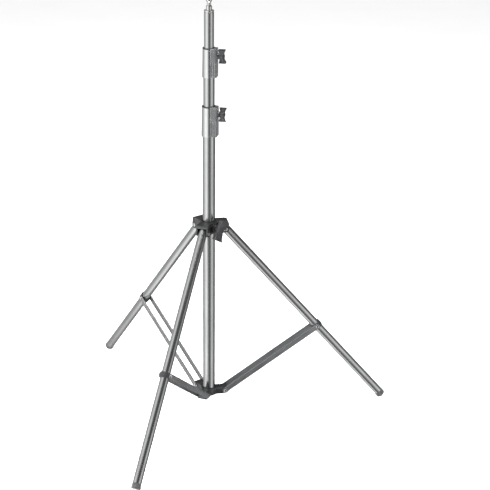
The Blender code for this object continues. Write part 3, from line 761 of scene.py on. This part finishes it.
def clevis(azimuth):
    """Two cheeks and the roof that joins them, with a rounded nose over the leg's head."""
    reach = LEG_PIN_AT[0]
    start = 20.5 * MM
    outline = [(start, -9 * MM)]
    outline += arc((reach, 0), 10 * MM, -75, 20, 14)
    outline += arc((reach - 0.2 * MM, COLLAR_HIGH - 8.2 * MM), 8.2 * MM, 5, 90, 12)
    outline += [(start, COLLAR_HIGH)]
    shells = []
    for side in (1, -1):
        cheek = moved(extrusion(outline, 2.5 * MM, 1.0 * MM), shift(y=side * (CHEEK_IN + 2.5 * MM)))
        boss = moved(turned([(0, 0.2 * MM), (6.8 * MM, 0.2 * MM), (7.4 * MM, -1.4 * MM), (0, -1.4 * MM)],
                             0.4 * MM, 64),
                     shift(reach, side * CHEEK_OUT, 0), spin(-90 * side, "X"))
        shells += [cheek, boss]
    nose = [(start, ROOF_UNDER), (reach - 2 * MM, ROOF_UNDER)]
    nose += arc((reach + 4.0 * MM, 17.8 * MM), 4.9 * MM, -75, 84, 14)
    nose += [(start, 22.8 * MM)]
    shells.append(extrusion(nose, CHEEK_OUT - 0.4 * MM, 1.2 * MM))
    return moved(joined(*shells), spin(azimuth, "Z"))


def leg_collar():
    """The sliding collar with its clevises, hinge pins, lining and knob."""
    place = shift(z=LEG_PIN_AT[1])
    bore = 20.3 * MM
    ring = turned([(COLLAR_RADIUS, COLLAR_HIGH), (COLLAR_RADIUS, COLLAR_LOW), (15 * MM, COLLAR_LOW),
                   (15 * MM, COLLAR_HIGH)], 1.6 * MM, 128)
    boss = turned([(0, COLLAR_BOSS_END), (9.5 * MM, COLLAR_BOSS_END),
                   (12 * MM, 34 * MM), (12 * MM, 18 * MM), (0, 18 * MM)],
                  1.2 * MM, 96)
    across = shift(z=COLLAR_KNOB_UP) @ spin(KNOB_AZIMUTH, "Z") @ spin(90, "Y")
    shells = [ring, moved(boss, across)]
    shells += [clevis(azimuth) for azimuth in AZIMUTHS]
    for azimuth in (60, 180):
        for offset in (-14, 0, 14):
            shells.append(moved(block((24 * MM, -1.1 * MM, COLLAR_LOW + 1.5 * MM),
                                      (27.4 * MM, 1.1 * MM, COLLAR_HIGH - 2.5 * MM), 0.6 * MM),
                                spin(azimuth + offset, "Z")))
    made = moulded(joined(*shells), "collar", 0.5 * MM, 6)
    cutters = [lathe([(0, 60 * MM), (0, -60 * MM), (bore, -60 * MM), (bore, 60 * MM)], 128)]
    for azimuth in AZIMUTHS:
        cutters.append(moved(bore_of(BORE, -30 * MM, 30 * MM), spin(azimuth, "Z"),
                             shift(LEG_PIN_AT[0]), spin(90, "X")))
    cutters.append(moved(bore_of(BORE, 0, 60 * MM), across))
    finished(drilled(made, *cutters), "leg_collar", place)

    lining = turned([(20 * MM, COLLAR_HIGH - 1 * MM), (20 * MM, COLLAR_LOW + 1 * MM),
                     (17.8 * MM, COLLAR_LOW + 1 * MM), (17.8 * MM, COLLAR_HIGH - 1 * MM)], 0.5 * MM, 128)
    from_mesh(lining, "collar_lining", place)
    for number, azimuth in enumerate(AZIMUTHS, 1):
        spot = place @ spin(azimuth, "Z") @ shift(LEG_PIN_AT[0]) @ spin(90, "X")
        from_mesh(pin_piece(LEG_PIN, 5.5 * MM, CHEEK_OUT + GAP), f"leg_pin_{number}", spot)
    seat = (place @ spin(KNOB_AZIMUTH, "Z") @ shift(COLLAR_BOSS_END, 0, COLLAR_KNOB_UP)
            @ spin(COLLAR_KNOB_TURN, "X"))
    from_mesh(screw_rod(-16 * MM), "collar_bolt", seat)
    knob("collar_knob", seat, **COLLAR_KNOB)


# ---- brace collar ---------------------------------------------------------------------------


def brace_collar():
    """The fixed collar: a split ring with three lugs, its pinch screw and the brace pins."""
    place = shift(z=BRACE_PIN_AT[1])
    low, high = -12 * MM, 8 * MM
    reach = BRACE_PIN_AT[0]
    ring = turned([(23.5 * MM, high), (23.5 * MM, low), (14 * MM, low), (14 * MM, high)], 1.5 * MM, 128)
    shells = [ring]
    outline = [(15.5 * MM, low), (34 * MM, low)]
    outline += arc((reach, 0), 11 * MM, -80, 60, 20)
    outline += [(34 * MM, high), (15.5 * MM, high)]
    for azimuth in AZIMUTHS:
        shells.append(moved(extrusion(outline, LUG_HALF, 1.6 * MM, 4), spin(azimuth, "Z")))
    made = moulded(joined(*shells), "ring", 0.5 * MM, 5)
    cutters = [bore_of(17.8 * MM, -60 * MM, 60 * MM, 128),
               moved(block((0, -1 * MM, -40 * MM), (50 * MM, 1 * MM, 40 * MM), 0.1 * MM),
                     spin(KNOB_AZIMUTH, "Z"))]
    for azimuth in AZIMUTHS:
        cutters.append(moved(bore_of(BRACE_PIN + GAP, -30 * MM, 30 * MM), spin(azimuth, "Z"),
                             shift(reach), spin(90, "X")))
        for side in (1, -1) if azimuth else ():
            pocket = block((29 * MM, side * 9 * MM - 1.7 * MM, high - 1.2 * MM),
                           (41 * MM, side * 9 * MM + 1.7 * MM, high + 3 * MM), 0.6 * MM)
            cutters.append(moved(pocket, spin(azimuth, "Z")))
    cutters.append(moved(bore_of(2.4 * MM, -30 * MM, 30 * MM), shift(*RING_SCREW_AT)))
    finished(drilled(made, *cutters), "brace_collar", place)

    seat = high + GAP
    head = seat + 3.4 * MM
    screw = lathe(fillet([(0, head), (2.4 * MM, head), (3.6 * MM, head - 1 * MM), (3.6 * MM, seat),
                          (2.1 * MM, seat), (2.1 * MM, low), (0, low)], 0.4 * MM, 3, False), 48)
    screw = as_object(screw, "screw")
    socket = moved(bore_of(1.5 * MM, -1.8 * MM, 2 * MM, 6), shift(z=head))
    finished(drilled(screw, socket), "brace_collar_screw", place @ shift(*RING_SCREW_AT))
    for number, azimuth in enumerate(AZIMUTHS, 1):
        spot = place @ spin(azimuth, "Z") @ shift(reach) @ spin(90, "X")
        half = BAR_INSIDE + BAR_THICKNESS + RIB + GAP
        from_mesh(pin_piece(BRACE_PIN, 4.6 * MM, half), f"brace_pin_{number}", spot)


# ---- legs and braces ------------------------------------------------------------------------


def leg(number, azimuth):
    """Tube, head plug, brace bracket and rubber foot of one leg, on its hinge's own axes."""
    place = (spin(azimuth, "Z") @ shift(LEG_PIN_AT[0], 0, LEG_PIN_AT[1])
             @ Matrix.Rotation(-LEG_ANGLE, 4, "Y"))
    end = FOOT_LENGTH - LEG_REACH
    inner = LEG_RADIUS - 1.5 * MM
    cross = moved(bore_of(BORE, -30 * MM, 30 * MM), spin(90, "X"))
    tube = as_object(pipe(LEG_RADIUS, inner, end, LEG_HEAD, 96), "leg")
    finished(drilled(tube, cross), f"leg_{number}_tube", place)

    rim = LEG_HEAD + GAP
    plug = turned([(0, rim + 2.2 * MM), (4 * MM, rim + 2.2 * MM), (5 * MM, rim + 3 * MM),
                   (LEG_RADIUS - 2 * MM, rim + 3 * MM), (LEG_RADIUS, rim + 1.6 * MM), (LEG_RADIUS, rim),
                   (inner - GAP, rim), (inner - GAP, rim - 2 * MM), (0, rim - 2 * MM)], 0.7 * MM)
    from_mesh(plug, f"leg_{number}_head_plug", place)

    half = 8 * MM
    band = turned([(15.4 * MM, half), (15.4 * MM, -half), (LEG_RADIUS + GAP, -half),
                   (LEG_RADIUS + GAP, half)], 1.1 * MM, 128)
    band = as_object(moved(band, shift(z=-BRACE_ON_LEG)), "band")
    flat = BAR_INSIDE - 0.4 * MM
    cuts = [block((-30 * MM, near, -BRACE_ON_LEG - 30 * MM),
                  (30 * MM, far, 30 * MM - BRACE_ON_LEG), 0.1 * MM)
            for near, far in ((flat, 40 * MM), (-40 * MM, -flat))]
    finished(drilled(band, *cuts), f"leg_{number}_bracket", place)

    wide = LEG_RADIUS + 0.4 * MM
    tip = -LEG_REACH
    top = end - GAP
    profile = [(0, top), (wide - 0.7 * MM, top), (wide, top - 0.8 * MM)]
    for k in range(3):
        at = top - (4.2 + 2.4 * k) * MM
        profile += [(wide, at + 0.7 * MM), (wide - 0.6 * MM, at + 0.45 * MM),
                    (wide - 0.6 * MM, at - 0.45 * MM), (wide, at - 0.7 * MM)]
    profile += [(wide, tip + 2.4 * MM), (wide - 0.7 * MM, tip + 0.7 * MM), (wide - 2.6 * MM, tip), (0, tip)]
    foot = turned(profile, 0.3 * MM, 96)
    level = place.inverted()
    on_floor = level @ Vector((LEG_PIN_AT[0], 0, 0))
    normal = level.to_3x3() @ Vector((0, 0, 1))
    cut = bmesh.ops.bisect_plane(foot, geom=foot.verts[:] + foot.edges[:] + foot.faces[:],
                                 plane_co=on_floor, plane_no=normal, clear_inner=True)
    rim_edges = [e for e in cut["geom_cut"] if isinstance(e, bmesh.types.BMEdge)]
    bmesh.ops.contextual_create(foot, geom=rim_edges)
    from_mesh(foot, f"leg_{number}_foot", place)


def brace(number, azimuth):
    """The two ribbed bars of one brace and their outer rivets."""
    outer = LEG_PIN_AT[0] + BRACE_ON_LEG * math.sin(LEG_ANGLE)
    height = LEG_PIN_AT[1] - BRACE_ON_LEG * math.cos(LEG_ANGLE)
    out, up = outer - BRACE_PIN_AT[0], height - BRACE_PIN_AT[1]
    length = math.hypot(out, up)
    place = (spin(azimuth, "Z") @ shift(BRACE_PIN_AT[0], 0, BRACE_PIN_AT[1])
             @ Matrix.Rotation(math.atan2(out, up), 4, "Y"))
    half = BAR_WIDTH / 2
    for letter, side in (("a", 1), ("b", -1)):
        outline = arc((0, 0), half, 180, 360, 24) + arc((0, length), half, 0, 180, 24)
        plate = moved(extrusion(outline, BAR_THICKNESS / 2, 0.35 * MM),
                      shift(y=side * (BAR_INSIDE + BAR_THICKNESS / 2)))
        face = side * (BAR_INSIDE + BAR_THICKNESS)
        shells = [plate]
        for edge in (1, -1):
            middle = edge * (half - 1.05 * MM - 0.4 * MM)
            near, far = sorted((face - side * 0.6 * MM, face + side * RIB))
            shells.append(block((middle - 1.05 * MM, near, 0.5 * MM),
                                (middle + 1.05 * MM, far, length - 0.5 * MM), 0.5 * MM))
        near, far = sorted((face - side * 0.4 * MM, face + side * 0.35 * MM))
        shells.append(block((-1.6 * MM, near, 14 * MM), (1.6 * MM, far, length - 14 * MM), 0.3 * MM))
        from_mesh(joined(*shells), f"brace_{number}_bar_{letter}", place)
        head = BAR_THICKNESS + RIB + GAP
        rivet = lathe(fillet([(0, head + HEAD), (1.6 * MM, head + HEAD - 0.05 * MM),
                              (3.2 * MM, head + HEAD - 0.35 * MM), (4.3 * MM, head + HEAD - 1.0 * MM),
                              (4.6 * MM, head), (4.6 * MM, BAR_THICKNESS + GAP),
                              (BRACE_PIN, BAR_THICKNESS + GAP), (BRACE_PIN, 0), (0, 0)],
                             0.3 * MM, 3, False), 48)
        spot = place @ shift(0, side * BAR_INSIDE, length) @ spin(-90 * side, "X")
        from_mesh(rivet, f"brace_{number}_rivet_{letter}", spot)


column()
for clamp_side, values in CLAMPS.items():
    clamp(clamp_side, **values)
leg_collar()
brace_collar()
for leg_number, leg_azimuth in enumerate(AZIMUTHS, 1):
    leg(leg_number, leg_azimuth)
    brace(leg_number, leg_azimuth)

for name, node in frame["nodes"].items():
    node.data.materials.clear()
    node.data.materials.append(MATERIALS[NODE_SLOT[name]])

# ---- floor, light and camera ----------------------------------------------------------------


def floor():
    """A wide pale floor, faintly mottled."""
    work = bmesh.new()
    bmesh.ops.create_grid(work, x_segments=1, y_segments=1, size=40)
    made = as_object(work, "floor")
    look = Shader("floor", (0.9, 0.9, 0.9), 0.9, 0.0)
    look.colour(look.ramp(look.noise(3, (1, 1, 1), 4.0),
                          (0.3, (0.895, 0.895, 0.895)), (0.7, (0.91, 0.91, 0.91))))
    made.data.materials.append(look.material)
    made.visible_glossy = False


def studio():
    """Even white light for matt surfaces, and a ring of panels round what shines."""
    world = bpy.data.worlds.new("studio")
    bpy.context.scene.world = world
    world.use_nodes = True
    tree = world.node_tree

    def node(kind, **settings):
        made = tree.nodes.new(kind)
        for key, value in settings.items():
            setattr(made, key, value)
        return made

    def ramp_of(value, stops, smooth):
        ramp = node("ShaderNodeValToRGB")
        ramp.color_ramp.interpolation = smooth
        elements = ramp.color_ramp.elements
        while len(elements) < len(stops):
            elements.new(0.5)
        for element, (at, level) in zip(elements, stops):
            element.position = at
            element.color = (level, level, level, 1)
        tree.links.new(value, ramp.inputs["Fac"])
        return ramp.outputs["Color"]

    def mixed(factor, first, second):
        mix = node("ShaderNodeMix", data_type="RGBA")
        for value, socket in ((factor, mix.inputs["Factor"]), (first, mix.inputs["A"]),
                              (second, mix.inputs["B"])):
            if isinstance(value, float):
                socket.default_value = (value, value, value, 1)
            else:
                tree.links.new(value, socket)
        return mix.outputs["Result"]

    split = node("ShaderNodeSeparateXYZ")
    tree.links.new(node("ShaderNodeTexCoord").outputs["Generated"], split.inputs[0])
    angle = node("ShaderNodeMath", operation="ARCTAN2")
    tree.links.new(split.outputs["Y"], angle.inputs[0])
    tree.links.new(split.outputs["X"], angle.inputs[1])
    turns = node("ShaderNodeMath", operation="MULTIPLY_ADD")
    turns.inputs[1].default_value = 1 / math.tau
    turns.inputs[2].default_value = 0.5
    tree.links.new(angle.outputs[0], turns.inputs[0])

    def round_about(levels):
        panels = sorted(((PANEL_FRONT + offset + 540) % 360 / 360, level)
                        for offset, level in levels)
        return ramp_of(turns.outputs[0], panels, "LINEAR")

    rise = node("ShaderNodeMath", operation="MULTIPLY_ADD")
    rise.inputs[1].default_value = 0.5
    rise.inputs[2].default_value = 0.5
    tree.links.new(split.outputs["Z"], rise.inputs[0])
    high = ramp_of(rise.outputs[0], ((0.0, 0.0), (0.60, 0.0), (0.69, 1.0)), "LINEAR")
    shiny = mixed(high, round_about(PANELS), round_about(UPPER_PANELS))
    path = node("ShaderNodeLightPath")
    final = mixed(path.outputs["Is Glossy Ray"], WHITE_SKY, shiny)
    background = tree.nodes["Background"]
    tree.links.new(final, background.inputs["Color"])
    background.inputs["Strength"].default_value = 1.0


def softbox(name, location, target, width, height, power, seen=True):
    """A rectangular lamp; one that isn't seen lights matt surfaces but leaves no reflection."""
    light = bpy.data.lights.new(name, "AREA")
    light.shape = "RECTANGLE"
    light.size = width
    light.size_y = height
    light.energy = power
    lamp = bpy.data.objects.new(name, light)
    bpy.context.scene.collection.objects.link(lamp)
    lamp.location = location
    lamp.visible_glossy = seen
    aim = Vector(target) - Vector(location)
    lamp.rotation_euler = aim.to_track_quat("-Z", "Y").to_euler()


PANEL_FRONT = -98.1
WHITE_SKY = 0.95
UPPER_PANELS = ((-179, 0.06), (-135, 0.08), (-105, 0.55), (-60, 0.85), (-35, 0.60), (-18, 0.10),
                (0, 0.06), (179, 0.06))
PANELS = ((-179, 0.34), (-150, 0.50), (-118, 0.36), (-89, 0.62), (-66, 0.98), (-52, 1.32), (-40, 1.30),
          (-27, 0.80), (-12, 0.24), (4, 0.10), (18, 0.12), (30, 0.24), (46, 0.66), (62, 0.94), (74, 0.55),
          (89, 0.20), (118, 0.12), (150, 0.30), (179, 0.34))
floor()
studio()
softbox("overhead", (0.1, -0.3, 4.0), (0.1, -0.3, 0.0), 1.6, 1.6, 70)
softbox("left_fill", (-2.8, -1.3, 0.9), (0, 0, 0.6), 1.2, 1.4, 520, False)
softbox("right_fill", (3.0, -0.5, 0.8), (0, 0, 0.6), 1.2, 1.4, 240, False)
bpy.context.scene.view_settings.view_transform = "Standard"

TILT = 0.376
AROUND = math.radians(-8.08)
DISTANCE = 4.1097
camera = bpy.data.objects.new("camera", bpy.data.cameras.new("camera"))
bpy.context.scene.collection.objects.link(camera)
camera.data.sensor_width = 36.0
camera.data.lens = 106.84
camera.data.shift_x = 0.0735
camera.data.shift_y = 0.0239
back = Vector((0, -math.cos(TILT), math.sin(TILT))) * DISTANCE
camera.location = Vector((0, 0, 0.4751)) + Matrix.Rotation(AROUND, 3, "Z") @ back
camera.rotation_euler = (math.pi / 2 - TILT, 0, AROUND)
bpy.context.scene.camera = camera
